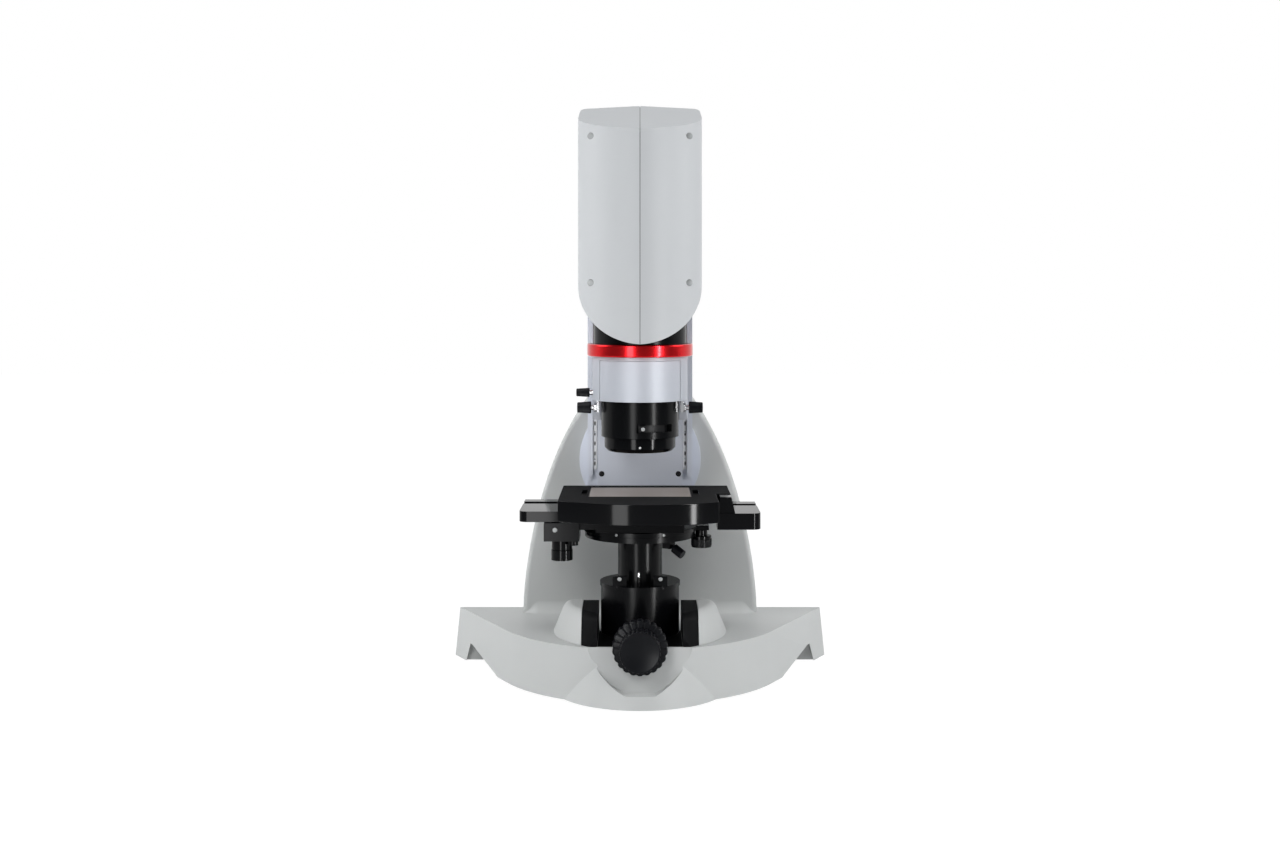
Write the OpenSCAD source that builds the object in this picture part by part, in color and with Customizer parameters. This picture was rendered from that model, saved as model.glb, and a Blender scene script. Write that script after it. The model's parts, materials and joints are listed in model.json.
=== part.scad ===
// Digital inspection microscope with a tilting column, a zoom head and a moving stage.
// Millimetres, +Z up. Pieces are placed about the optical axis, then centred by axis_y.

/* [Base] */
// Height of the base's top face
base_top = 61; // [55:1:70]
// Radius of the base's round front
base_front_r = 165; // [155:1:175]
// How far behind the optical axis that front is centred
base_arc_y = 75; // [70:1:80]
// Half-width of the base at its side tips
tip_x = 212; // [200:1:230]
// Rear edge of the side tips, behind the optical axis
tip_y = 120; // [115:1:126]
// How much further out the side tips are at their foot than at their top
base_draft = 6; // [3:1:9]
// Radius of the base's round chin at its foot
chin_r = 95; // [90:1:100]
// How far before the optical axis the chin is centred
chin_y = 18; // [14:1:22]
// Wall of the base casting
base_wall = 6; // [4:0.5:8]
// Gap under the base casting
foot_gap = 4; // [3:0.5:6]
// Radius of a rubber foot
foot_r = 9; // [6:0.5:12]
// Thickness of the bottom cover
bottom_t = 2.5; // [1.5:0.5:4]

/* [Collar] */
// Radius of the domed collar at its foot
collar_r = 95; // [88:1:96]
// Radius of the domed collar at its top
collar_top_r = 74; // [68:1:76]
// Height of the collar
collar_h = 33; // [26:1:36]
// Half-width of the channel between the collar's cheeks
channel_x = 62; // [58:1:64]
// Thickness of a black liner
liner_t = 17; // [10:1:17]
// Where the collar's cheeks end, behind the optical axis
collar_back = 6; // [0:1:20]

/* [Tower] */
// Half-width of the tower at its foot
tower_half = 136; // [126:1:140]
// Height of the tower above the base
tower_h = 284; // [260:1:300]
// Front face of the tower, behind the optical axis
tower_front = 92; // [90:1:98]
// Depth of the front casting
tower_depth = 58; // [50:1:70]
// Depth of the rear cover
rear_depth = 38; // [32:1:46]
// Wall of the tower casting
tower_wall = 8; // [6:0.5:10]
// Wall of the rear cover
rear_wall = 4; // [3:0.5:6]
// Rounding of the tower's front rim
rim = 6; // [3:0.5:8]

/* [Tilt] */
// Height of the tilt axis
tilt_z = 240; // [238:1:246]
// Radius of the tilt disc
disc_r = 70; // [64:1:74]
// Thickness of the tilt disc
disc_t = 7.7; // [6:0.1:9]
// Radius of the tilt shaft
shaft_r = 20; // [14:0.5:24]
// Wall of the bearing bush round the tilt shaft
bush_t = 10; // [6:0.5:12]

/* [Column] */
// Half-width of the column
column_x = 60; // [58:1:64]
// Width of a column side wall
column_wall = 6; // [4:0.5:7]
// Depth of the column
column_d = 14; // [14:0.5:15]
// Lower end of the column
column_z0 = 195; // [190:1:205]
// Upper end of the column
column_z1 = 560; // [552:1:572]
// Lower end of the side walls
side_z0 = 221; // [215:1:228]
// Half-width of the column's front plate
plate_x = 49; // [47:0.5:50]
// Thickness of the front plate
plate_t = 6; // [4:0.5:6]
// Radius of the focus spindle
spindle_r = 2; // [1.5:0.25:2]

/* [Head] */
// Half-width of the head
head_x = 68; // [66:0.5:72]
// Radius of the head's rounded front
head_r = 72; // [70:0.5:76]
// Back of the head, behind the optical axis
head_back = 91.5; // [89:0.5:91.5]
// Height of the head's lowest point, at the front
head_tip_z = 377; // [375:1:386]
// Height of the head's sides at their foot
head_side_z = 442; // [438:1:444]
// Height of the head's top at the front
head_front_z = 605; // [600:1:612]
// Height of the head's top at the back
head_back_z = 649; // [640:1:660]
// Wall of the head's covers
head_wall = 3; // [2:0.5:4]
// Seam between the two covers
seam = 0.6; // [0.4:0.1:1]

/* [Optics] */
// Radius of the black optics tube
tube_r = 51; // [48:0.5:52]
// Radius of the red ring
ring_r = 58; // [55:0.5:62]
// Thickness of the red ring
ring_h = 13.5; // [7:0.5:14]
// Radius of the objective holder
holder_r = 52; // [50:0.5:53]
// Lower face of the objective holder
holder_z0 = 315; // [312:0.5:318]
// Height of the objective holder
holder_h = 48; // [44:0.2:52]
// Half-width of the objective slide
slide_x = 43.5; // [40:0.5:44]
// Radius of the objective's barrel
barrel_r = 42.4; // [38:0.2:43]
// Length of the objective's barrel
barrel_h = 40; // [36:0.5:44]
// Radius of the objective's front ring
nose_r = 39; // [35:0.5:41]
// Length of the objective's front ring
nose_h = 16; // [12:0.5:18]
// Radius of the front lens
lens_r = 22; // [16:0.5:24]
// Radius of a release button
button_r = 6.6; // [4:0.2:6.8]
// How far out a release button reaches from the optical axis
button_x = 69; // [66:0.5:69]

/* [Lift] */
// Radius of the lift housing
housing_r = 43; // [40:0.5:45]
// Height of the lift housing's top
housing_z = 116; // [110:0.5:117]
// Radius of the lift tube
lift_r = 24.2; // [20:0.2:26]
// Wall of the lift tube
lift_wall = 6.2; // [4:0.2:6.4]
// Pitch radius of the lift pinion
pinion_r = 7; // [6:0.5:8]
// Teeth of the lift pinion
pinion_teeth = 14; // [12:1:16]
// Radius of the coarse knob
coarse_r = 29; // [24:0.5:31]
// Length of the coarse knob
coarse_l = 12; // [8:0.5:16]
// Radius of the fine knob
fine_r = 21.5; // [16:0.5:25]
// Length of the fine knob
fine_l = 18; // [12:0.5:22]

/* [Stage] */
// Height of the stage's top face
stage_top = 213; // [205:0.5:213]
// Thickness of the stage plate
stage_t = 22; // [14:0.5:22]
// Left edge of the stage plate
stage_left = 87; // [80:1:88]
// Right edge of the stage plate
stage_right = 99; // [92:1:102]
// Front edge of the stage plate, before the optical axis
stage_front = 100; // [90:1:104]
// Rear edge of the stage plate, behind the optical axis
stage_back = 55; // [50:1:57]
// Radius of the stage plate's curved front
stage_bow_r = 145; // [135:1:160]
// Width of the stage insert
insert_w = 110; // [90:1:120]
// Depth of the stage insert
insert_d = 73; // [60:1:80]
// Thickness of the stage insert
insert_t = 4; // [3:0.5:6]
// Reach of the side wings from the optical axis
wing_x = 130; // [122:1:134]
// Thickness of the left wing's arm
wing_t = 11.4; // [8:0.2:11.6]
// Radius of the bearing disc under the stage
bearing_r = 60.5; // [56:0.5:61]
// Thickness of the bearing disc
bearing_t = 6; // [5:0.5:7]
// Radius of the stage drive knobs
drive_r = 11.75; // [9:0.25:13]

/* [Fits] */
// Clearance of a shaft in its bore
run = 0.06; // [0.02:0.01:0.1]
// Gap between faces that move past each other
gap = 0.3; // [0.3:0.05:0.5]

/* [Hidden] */
$fn = 96;
eps = 0.02;

// Places along Y and the shift that centres the part on its origin
base_front = base_arc_y - base_front_r;
scoop_depth = 12;
scoop_y = base_front + scoop_depth;
knob_stand = 11.5;
knob_back = scoop_y - knob_stand;
knob_front = knob_back - coarse_l - gap - fine_l;
split_y = tower_front + tower_depth;
rear_y = split_y + rear_depth;
axis_y = -(min(knob_front, -chin_y - chin_r) + rear_y) / 2;

// Heights of the stacked stage pieces
stage_z0 = stage_top - stage_t;
slide_z1 = stage_z0 - gap;
slide_z0 = slide_z1 - 13.2;
gear_z1 = stage_z0 - 5.5;
table_z1 = slide_z0 - gap;
table_t = 4.9;
table_z0 = table_z1 - table_t;
bearing_z1 = table_z0 - gap;
bearing_z0 = bearing_z1 - bearing_t;
hub_h = 6;
hub_r = lift_r + 2.8;
hub_z0 = bearing_z0 - hub_h;

// Tower outline, tilt bearing and column planes
tower_power = 1.65;
outline_steps = 28;
disc_y0 = tower_front - gap - disc_t;
column_y0 = disc_y0 - column_d;
back_t = 6;
plate_y0 = disc_y0 - back_t - plate_t;
spindle_y = disc_y0 - back_t - plate_t / 2;
spindle_slot = spindle_r + 3;
spindle_z0 = 300;
carriage_y1 = plate_y0 - gap;
carriage_y0 = holder_r + eps;
carriage_z0 = holder_z0 - 27;
carriage_z1 = column_z1 - 62;
groove_x = column_x - column_wall;
rail_t = 4;

// Heights of the optics
ring_z0 = holder_z0 + holder_h;
tube_z0 = ring_z0 + ring_h;
chassis_z0 = head_side_z + 4;
chassis_t = 6;
zoom_r = 30;
zoom_z1 = head_front_z - 45;
barrel_z0 = holder_z0 - barrel_h;
nose_z0 = barrel_z0 - nose_h;
barrel_bore = barrel_r - 6;
slide_top = ring_z0 - 4.2;
slide_back = 9.7;
button_z = holder_z0 - 9;
bracket_x = 44.5;
bracket_t = 6;
pin_r = 3;

// Lift drive
knob_z = base_top + 4;
knob_shaft_r = 4;
cap_t = 4;
housing_wall = 5;
lift_z0 = 45;
lift_travel = 30;
rack_x = pinion_r + 1.2;
module_mm = 2 * pinion_r / pinion_teeth;
tooth_pitch = PI * module_mm;

// Stage details
channel_left = 47;
gear_x0 = -103;
gear_x1 = -65;
gear_y = -25;
gear_half = 20;
gear_z0 = 166;
drive_x = -84.5;
drive_shaft_r = 3;
sleeve_r = 5;
drive_h = 11;
turn_r = 6.7;
turn_x = bearing_r + turn_r + gap;
notch_x = 83;
notch_y = -14;
arm_y0 = -40;
arm_y1 = 20;
bar_y0 = 33;
bar_y1 = 51;
bar_t = 2.5;
panel_x = 50;
panel_z0 = base_top + 14;
panel_z1 = panel_z0 + 60;

// A block given by its two corners
module block(x0, x1, y0, y1, z0, z1) {
    translate([x0, y0, z0]) cube([x1 - x0, y1 - y0, z1 - z0]);
}

// A round bar along Y from y0 to y1
module bar_y(y0, y1, r, x = 0, z = 0) {
    translate([x, y1, z]) rotate([90, 0, 0]) cylinder(h = y1 - y0, r = r);
}

// A round bar along X from x0 to x1
module bar_x(x0, x1, r, y = 0, z = 0) {
    translate([x0, y, z]) rotate([0, 90, 0]) cylinder(h = x1 - x0, r = r);
}

// A round bar along Z from z0 to z1
module bar_z(z0, z1, r, x = 0, y = 0) {
    translate([x, y, z0]) cylinder(h = z1 - z0, r = r);
}

// A pipe along Z
module pipe_z(z0, z1, r, bore, x = 0, y = 0) {
    difference() {
        bar_z(z0, z1, r, x, y);
        bar_z(z0 - 1, z1 + 1, bore, x, y);
    }
}

// The child and its mirror image across the plane X = 0
module both_sides() {
    children();
    mirror([1, 0, 0]) children();
}

// Everything is drawn about the optical axis and moved to the part's origin here
module place() {
    translate([0, axis_y, 0]) children();
}

// Plan of the base: a round front, tangents to the side tips, a straight rear edge
// g moves the tips out or in; the round front moves only inwards, so its face is upright
// Every plan uses the same angles, so that the faces between two plans are flat
function front_r(g) = base_front_r + min(g, 0);
tip_angle = atan2(tip_y - base_arc_y, tip_x) - acos(base_front_r / norm([tip_x, tip_y - base_arc_y]));
function base_plan(g) = concat(
    [[tip_x + g, tip_y + g / 2], [-tip_x - g, tip_y + g / 2]],
    [for (i = [0 : outline_steps * 2])
        let (a = -180 - tip_angle + (180 + 2 * tip_angle) * i / (outline_steps * 2))
        [front_r(g) * cos(a), base_arc_y + front_r(g) * sin(a)]]
);

module base_slab(z, g) {
    translate([0, 0, z]) linear_extrude(eps) polygon(base_plan(g));
}

// The recess in the base's front behind the lift knobs: curved sides, a flat lip and a leaning back
scoop_half = 55;
scoop_floor_half = 16;
scoop_floor = 17;
scoop_bend = [50, 34];
scoop_lip = base_front - 2;
scoop_rise = base_top + 2 - scoop_floor;
scoop_steps = 8;
function bend(a, b, c, t) = a * (1 - t) * (1 - t) + b * 2 * t * (1 - t) + c * t * t;
function scoop_edge(g, t) = bend([scoop_half + g, base_top + 2], scoop_bend + [g, 0],
    [scoop_floor_half + g, scoop_floor - g], t);
module scoop(g) {
    far = scoop_y - chin_r;
    intersection() {
        translate([0, scoop_y + g, 0]) rotate([90, 0, 0]) linear_extrude(chin_r) polygon(concat(
            [for (i = [0 : scoop_steps]) scoop_edge(g, i / scoop_steps)],
            [for (i = [scoop_steps : -1 : 0]) let (e = scoop_edge(g, i / scoop_steps)) [-e[0], e[1]]]
        ));
        translate([-chin_r, 0, 0]) rotate([90, 0, 90]) linear_extrude(2 * chin_r) polygon([
            [scoop_y + g, base_top + 3], [scoop_y + g, scoop_floor + scoop_rise - g],
            [scoop_lip, scoop_floor - g], [far, scoop_floor - g], [far, base_top + 3]
        ]);
    }
}

// Opening under each side tip, steep on the outside and sloping on the inside, with a rib behind it
arch_in = tip_x - 54;
arch_top = [tip_x - 16, 26];
arch_out = tip_x - 10;
arch_back = tip_y - 20;
module tip_arch() {
    both_sides() translate([0, arch_back, 0]) rotate([90, 0, 0]) linear_extrude(tip_x) polygon([
        [arch_in, foot_gap - 2], [arch_in, foot_gap], [arch_top[0] - 3, arch_top[1]], arch_top,
        [arch_out, foot_gap], [arch_out, foot_gap - 2]
    ]);
}

module base_casting() color("silver") place() difference() {
    union() {
        hull() {
            base_slab(base_top - eps, 0);
            base_slab(foot_gap, base_draft);
        }
        translate([0, -chin_y, foot_gap])
            cylinder(h = base_top - foot_gap, r1 = chin_r, r2 = -base_front - chin_y);
        block(-tower_half, tower_half, tip_y - base_wall, rear_y - 4, foot_gap, base_top);
    }
    difference() {
        union() {
            hull() {
                base_slab(base_top - base_wall, -base_wall);
                base_slab(foot_gap - 1, base_draft - base_wall);
            }
            block(-tower_half + base_wall, tower_half - base_wall, tip_y - base_wall * 3,
                rear_y - 4 - base_wall, foot_gap - 1, base_top - base_wall);
        }
        scoop(base_wall);
        both_sides() block(arch_in, tip_x + base_draft, arch_back, arch_back + base_wall,
            0, arch_top[1] + base_wall);
    }
    scoop(0);
    tip_arch();
    bar_z(base_top - base_wall - 20, base_top + 1, housing_r + run);
    bar_y(scoop_y - 30, 0, knob_shaft_r + 3 + run, 0, knob_z);
}

cover_in = 66;
module bottom_cover() color("dimgray") place() difference() {
    union() {
        intersection() {
            translate([0, 0, foot_gap]) linear_extrude(bottom_t) polygon(base_plan(-base_wall - 1));
            block(-tip_x + cover_in, tip_x - cover_in, base_front, tip_y - base_wall, 0, base_top);
        }
        block(-tower_half + base_wall + gap, tower_half - base_wall - gap, tip_y - base_wall - 1,
            rear_y - 4 - base_wall - gap, foot_gap, foot_gap + bottom_t);
    }
    scoop(base_wall + 1);
}

// Feet of one side: at the tip, at the middle, at the front and at the rear
foot_edge = 2 * foot_r;
foot_spots = [
    [tip_x - cover_in - foot_edge + 2, tip_y - foot_edge], [tip_x - cover_in - foot_edge - 2, tip_y / 4],
    [tower_half / 3, base_front + base_top - 13], [tower_half - 40, rear_y - 30]
];

module rubber_feet() color("black") place() both_sides() for (p = foot_spots)
    bar_z(0, foot_gap, foot_r, p[0], p[1]);

// Round collar: a sloping side and a rounded shoulder, cut off behind the lift
collar_slope = [10, 24.4];
module collar(g) {
    slope_end = [collar_r - collar_slope[0] - g, base_top + collar_slope[1]];
    shoulder = [slope_end[0] - 4, base_top + collar_h - g];
    top_edge = [collar_top_r - g, base_top + collar_h - g];
    difference() {
        rotate_extrude() polygon(concat(
            [[housing_r, base_top], [collar_r - g, base_top]],
            [for (i = [0 : scoop_steps]) bend(slope_end, shoulder, top_edge, i / scoop_steps)],
            [[housing_r, base_top + collar_h - g]]
        ));
        block(-collar_r - 1, collar_r + 1, collar_back, collar_r + 1, base_top - 1, base_top + collar_h + 1);
    }
}

module collar_cheeks() color("silver") place() difference() {
    collar(0);
    block(-channel_x, channel_x, -collar_r - 1, collar_r + 1, base_top - 1, base_top + collar_h + 1);
}

module collar_liners() color([0.05, 0.05, 0.05]) place() both_sides() intersection() {
    collar(1);
    block(channel_x - liner_t, channel_x - eps, scoop_y + gap, collar_r, base_top, base_top + collar_h);
}

// Half-outline of the tower: half-width as a power curve of the height
function arch(g) = let (h = tower_h - g, w = tower_half - g) concat(
    [for (i = [0 : outline_steps]) let (t = sin(90 * i / outline_steps))
        [w * sqrt(1 - pow(t, tower_power)), base_top + h * t]],
    [for (i = [outline_steps - 1 : -1 : 0]) let (t = sin(90 * i / outline_steps))
        [-w * sqrt(1 - pow(t, tower_power)), base_top + h * t]]
);

// A solid drawn through arches: each section is its place along Y and its inset
module arch_loft(sections) {
    n = outline_steps * 2 + 1;
    last = len(sections) - 1;
    polyhedron(
        points = [for (s = sections, p = arch(s[1])) [p[0], s[0], p[1]]],
        faces = concat(
            [[for (i = [n - 1 : -1 : 0]) i]],
            [for (k = [0 : last - 1], i = [0 : n - 1]) let (j = (i + 1) % n)
                [k * n + i, k * n + j, (k + 1) * n + j]],
            [for (k = [0 : last - 1], i = [0 : n - 1]) let (j = (i + 1) % n)
                [k * n + i, (k + 1) * n + j, (k + 1) * n + i]],
            [[for (i = [0 : n - 1]) last * n + i]]
        )
    );
}

module tower_casting() color("silver") place() difference() {
    arch_loft([
        for (a = [0 : 22.5 : 90]) [tower_front + rim * (1 - cos(a)), rim * (1 - sin(a))],
        [split_y, 0]
    ]);
    arch_loft([[tower_front + tower_wall, tower_wall], [split_y + 1, tower_wall]]);
    bar_y(tower_front - 1, tower_front + tower_wall + 1, shaft_r + bush_t, 0, tilt_z);
}

module tower_rear_cover() color("silver") place() difference() {
    arch_loft([
        [split_y, 0], for (a = [0 : 22.5 : 90]) [rear_y - 8 * (1 - sin(a)), 8 * (1 - cos(a))]
    ]);
    arch_loft([[split_y - 1, rear_wall], [rear_y - rear_wall - 4, rear_wall + 4]]);
    block(-panel_x, panel_x, rear_y - 20, rear_y + 1, panel_z0, panel_z1);
}

switch_x = -30;
switch_z = panel_z0 + 18;
socket_x = [2, 28];

panel_y0 = rear_y - 6;
panel_t = 3;
switch_half = [6.5, 10];
switch_r = 10.4;
socket_half = [8, 7];
socket_wall = 2;
socket_y0 = rear_y - 14;
socket_y1 = rear_y - 2;

// A block about a point of the rear panel: half-sizes h, from y0 to y1
module panel_block(x, h, y0, y1) {
    block(x - h[0], x + h[0], y0, y1, switch_z - h[1], switch_z + h[1]);
}

module rear_panel() color("dimgray") place() difference() {
    block(-panel_x, panel_x, panel_y0, panel_y0 + panel_t, panel_z0, panel_z1);
    panel_block(switch_x, switch_half + [0.5, 1], panel_y0 - 1, rear_y);
    for (x = socket_x) panel_block(x, socket_half, panel_y0 - 1, rear_y);
}

module rear_sockets() color([0.1, 0.1, 0.1]) place() for (x = socket_x) difference() {
    panel_block(x, socket_half, socket_y0, socket_y1);
    panel_block(x, socket_half - [socket_wall, socket_wall], socket_y0 + 3, rear_y);
}

module power_switch() color([0.1, 0.1, 0.1]) place() intersection() {
    panel_block(switch_x, switch_half, rear_y - 10, rear_y);
    bar_x(switch_x - switch_half[0], switch_x + switch_half[0], switch_r, rear_y - 12, switch_z);
}

board_half = 70;
board_t = 1.6;
board_y0 = split_y + 8;
chip_x = [-50, 0, 44];
chip_half = 12;
chip_t = 4.4;
chip_z = base_top + 32;
module control_board() color("darkgreen") place() union() {
    block(-board_half, board_half, board_y0, board_y0 + board_t, base_top, base_top + board_half);
    for (x = chip_x) block(x - chip_half, x + chip_half, board_y0 + board_t, board_y0 + board_t + chip_t,
        chip_z - chip_half, chip_z + chip_half);
}

module tilt_bearing() color("goldenrod") place() difference() {
    union() {
        bar_y(tower_front, tower_front + tower_wall + 12, shaft_r + bush_t - eps, 0, tilt_z);
        bar_y(tower_front + tower_wall, tower_front + tower_wall + 4, shaft_r + bush_t + 6, 0, tilt_z);
    }
    bar_y(tower_front - 1, tower_front + tower_wall + 13, shaft_r + run, 0, tilt_z);
}

module tilt_disc() color("lightsteelblue") place()
    bar_y(disc_y0, disc_y0 + disc_t, disc_r, 0, tilt_z);

module tilt_shaft() color("gray") place()
    bar_y(disc_y0 + disc_t, tower_front + tower_wall + 22, shaft_r, 0, tilt_z);

module tilt_nut() color("gray") place() difference() {
    bar_y(tower_front + tower_wall + 12 + gap, tower_front + tower_wall + 20, shaft_r + bush_t, 0, tilt_z);
    bar_y(tower_front, tower_front + tower_wall + 30, shaft_r + eps, 0, tilt_z);
}

// U-shaped column: a back wall with two side walls that end round at their foot
module column_profile() color("lightsteelblue") place() union() {
    block(-column_x, column_x, disc_y0 - back_t, disc_y0, column_z0, column_z1);
    both_sides() {
        block(groove_x, column_x, column_y0, disc_y0 - back_t, side_z0 + column_wall / 2, column_z1);
        bar_y(column_y0, disc_y0 - back_t, column_wall / 2, groove_x + column_wall / 2,
            side_z0 + column_wall / 2);
    }
}

screw_x = plate_x - 5;
screw_z = side_z0 + 3;

module column_front_plate() color("lightsteelblue") place() difference() {
    block(-plate_x, plate_x, plate_y0, plate_y0 + plate_t, column_z0 + 2, column_z1);
    block(-spindle_slot, spindle_slot, plate_y0 - 1, plate_y0 + plate_t + 1, spindle_z0, column_z1 + 1);
    for (s = [-1, 1]) bar_y(plate_y0 - 1, plate_y0 + 4, 3.2, s * screw_x, screw_z);
}

module column_screws() color([0.15, 0.15, 0.15]) place() for (s = [-1, 1])
    bar_y(plate_y0 + 1, plate_y0 + 4, 3.2, s * screw_x, screw_z);

module guide_rails() color("gray") place() both_sides() difference() {
    block(plate_x + 0.5, groove_x, disc_y0 - back_t - rail_t, disc_y0 - back_t, side_z0 + 8, column_z1);
    for (i = [0 : 10]) bar_y(disc_y0 - 40, disc_y0, 1.2, (plate_x + groove_x + 0.5) / 2,
        side_z0 + 20 + i * 30);
}

motor_r = 12;
motor_h = 32;
flange_half = 30;
flange_t = 4;

module focus_motor() color([0.2, 0.2, 0.2]) place() difference() {
    union() {
        block(-flange_half, flange_half, plate_y0, disc_y0, column_z1, column_z1 + flange_t);
        bar_z(column_z1 + flange_t, column_z1 + flange_t + motor_h, motor_r, 0, spindle_y);
    }
    bar_z(column_z1 - 1, column_z1 + flange_t + 12, spindle_r + run, 0, spindle_y);
}

module focus_spindle() color("silver") place()
    bar_z(spindle_z0 + gap, column_z1 + flange_t + 10, spindle_r, 0, spindle_y);

shoe_h = 40;
shoe_z = [carriage_z0 + 12, carriage_z1 - shoe_h - 12];
nut_z0 = holder_z0 + 60;
nut_h = 22;

module focus_carriage() color("dimgray") place() union() {
    difference() {
        block(-plate_x + 2, plate_x - 2, carriage_y0, carriage_y1, carriage_z0, carriage_z1);
        bar_z(ring_z0 - gap, tube_z0 + gap, ring_r + gap);
    }
    for (z = shoe_z) both_sides() {
        block(plate_x - 3, groove_x - gap, carriage_y1 - 6, carriage_y1, z, z + shoe_h);
        block(plate_x + gap, groove_x - gap, carriage_y1 - 6, disc_y0 - back_t - rail_t - gap, z, z + shoe_h);
    }
    difference() {
        block(-spindle_slot + gap, spindle_slot - gap, carriage_y1, disc_y0 - back_t - gap,
            nut_z0, nut_z0 + nut_h);
        bar_z(holder_z0, column_z1, spindle_r + run, 0, spindle_y);
    }
}

head_round = 7;
head_roof = 6;

// Plan of the head: two arcs that meet in a soft ridge at the front, chamfered rear corners
head_arc_x = head_r - head_x;
function head_plan(g) = let (
        r = head_r - g,
        a0 = acos(head_arc_x / r),
        corner = 3,
        back = head_back - g,
        x = head_x - g
    ) concat(
        [[x, back - corner], [x - corner, back], [corner - x, back], [-x, back - corner]],
        [for (i = [0 : outline_steps]) let (a = 180 + a0 * i / outline_steps)
            [head_arc_x + r * cos(a), r * sin(a)]],
        [for (i = [1 : outline_steps]) let (a = 360 - a0 + a0 * i / outline_steps)
            [-head_arc_x + r * cos(a), r * sin(a)]]
    );
head_ridge = sqrt(head_r * head_r - head_arc_x * head_arc_x);

// Side view of the head: a sloping top, and a foot that slopes down to the front ridge
function head_side(g) = [
    [-head_ridge - 1, head_tip_z - (g > 0 ? 40 : 0)], [0, head_side_z - (g > 0 ? 40 : 0)],
    [head_back + 1, head_side_z - (g > 0 ? 40 : 0)], [head_back + 1, head_back_z - g],
    [-head_ridge - 1, head_front_z - g]
];

// Front view of the head: a low roof over the seam, with rounded upper corners
function head_front(g) = let (
        x = head_x - g,
        z = head_back_z - g,
        r = head_round,
        eave = z - head_roof - r
    ) concat(
        [[-x - 1, head_tip_z - 50], [x + 1, head_tip_z - 50], [x + 1, eave]],
        [for (a = [0 : 15 : 90]) [x - r + r * cos(a), eave + r * sin(a)]],
        [[0, z]],
        [for (a = [90 : 15 : 180]) [-x + r + r * cos(a), eave + r * sin(a)]],
        [[-x - 1, eave]]
    );

module head_solid(g) {
    intersection() {
        translate([0, head_back + 2, 0]) rotate([90, 0, 0]) linear_extrude(head_back + head_r + 4)
            polygon(head_front(g));
        translate([0, 0, head_tip_z - 60]) linear_extrude(head_back_z) polygon(head_plan(g));
        translate([-head_x - 2, 0, 0]) rotate([90, 0, 90]) linear_extrude(2 * head_x + 4)
            polygon(head_side(g));
    }
}

cover_screw_x = 53;
cover_screw_z = [head_front_z - 5, head_side_z + 1];

module head_half() {
    difference() {
        head_solid(0);
        head_solid(head_wall);
        block(-head_x - 9, seam / 2, -head_r - 9, head_back + 9, head_tip_z - 9, head_back_z + 9);
        for (z = cover_screw_z) bar_y(-head_r, 0, 3.6, cover_screw_x, z);
    }
}

module head_cover_right() color("gainsboro") place() head_half();

module head_cover_left() color("gainsboro") place() mirror([1, 0, 0]) head_half();

cover_face = -sqrt(head_r * head_r - pow(cover_screw_x + head_arc_x, 2));

module head_cover_screws() color("gray") place() both_sides() for (z = cover_screw_z)
    bar_y(cover_face + 3, cover_face + 14, 3.5, cover_screw_x, z);

module head_chassis() color("dimgray") place() difference() {
    union() {
        block(-head_x + head_wall + gap, head_x - head_wall - gap, 0, carriage_y0 - eps,
            chassis_z0, chassis_z0 + chassis_t);
        bar_z(chassis_z0, chassis_z0 + chassis_t, tube_r);
        both_sides() {
            block(cover_screw_x - 5, cover_screw_x + 4, -10, 40, chassis_z0, cover_screw_z[0] + 5);
            for (z = cover_screw_z)
                block(tube_r + gap, cover_screw_x + 4, cover_face + 14, -9, z - 5, z + 5);
        }
    }
    bar_z(chassis_z0 - 1, chassis_z0 + chassis_t + 1, zoom_r + eps);
}

module optics_tube() color([0.06, 0.06, 0.06]) place() pipe_z(tube_z0, chassis_z0, tube_r, tube_r - 8);

module zoom_barrel() color([0.12, 0.12, 0.12]) place() difference() {
    union() {
        bar_z(chassis_z0, zoom_z1, zoom_r - eps);
        bar_z(chassis_z0 + chassis_t, chassis_z0 + chassis_t + 8, zoom_r + 6);
    }
    bar_z(chassis_z0 - 1, zoom_z1 - 6, zoom_r - 8);
}

module camera_board() color("darkgreen") place() union() {
    block(-30, 30, -30, 30, zoom_z1, zoom_z1 + 1.6);
    block(-14, 14, -14, 14, zoom_z1 + 1.6, zoom_z1 + 8);
}

module red_ring() color("crimson") place() difference() {
    rotate_extrude() polygon([
        [tube_r - 8, ring_z0], [ring_r - 1, ring_z0], [ring_r, ring_z0 + 1],
        [ring_r, tube_z0 - 1], [ring_r - 1, tube_z0], [tube_r - 8, tube_z0]
    ]);
}

// Half-round holder with a front mouth that the objective slides out of
module objective_holder() color("silver") place() difference() {
    bar_z(holder_z0, ring_z0, holder_r);
    block(-slide_x - gap, slide_x + gap, -holder_r - 1, slide_back + gap, holder_z0 - 1, slide_top + gap);
    bar_z(holder_z0, ring_z0 + 1, zoom_r);
    bar_x(-holder_r - 1, 0, pin_r + run, 0, filter_z);
}

filter_z = holder_z0 + 7.5;
filter_r = 5;
filter_x = 70;

nut_t = 3;
bracket_half = 5;
module release_brackets() color("silver") place() both_sides() difference() {
    union() {
        block(bracket_x, bracket_x + bracket_t - nut_t, -bracket_half, bracket_half,
            button_z - bracket_half, holder_z0);
        translate([bracket_x + bracket_t - nut_t, 0, button_z]) rotate([0, 90, 0])
            cylinder(h = nut_t, r = bracket_half, $fn = 6);
    }
    bar_x(bracket_x - 1, bracket_x + bracket_t + 1, pin_r + run, 0, button_z);
}

press = 3;
module release_button() {
    bar_x(barrel_r + press + gap, button_x - 1, pin_r, 0, button_z);
    bar_x(bracket_x + bracket_t + press + gap, button_x, button_r, 0, button_z);
}

module release_button_right() color([0.05, 0.05, 0.05]) place() release_button();

module release_button_left() color([0.05, 0.05, 0.05]) place() mirror([1, 0, 0]) release_button();

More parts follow.
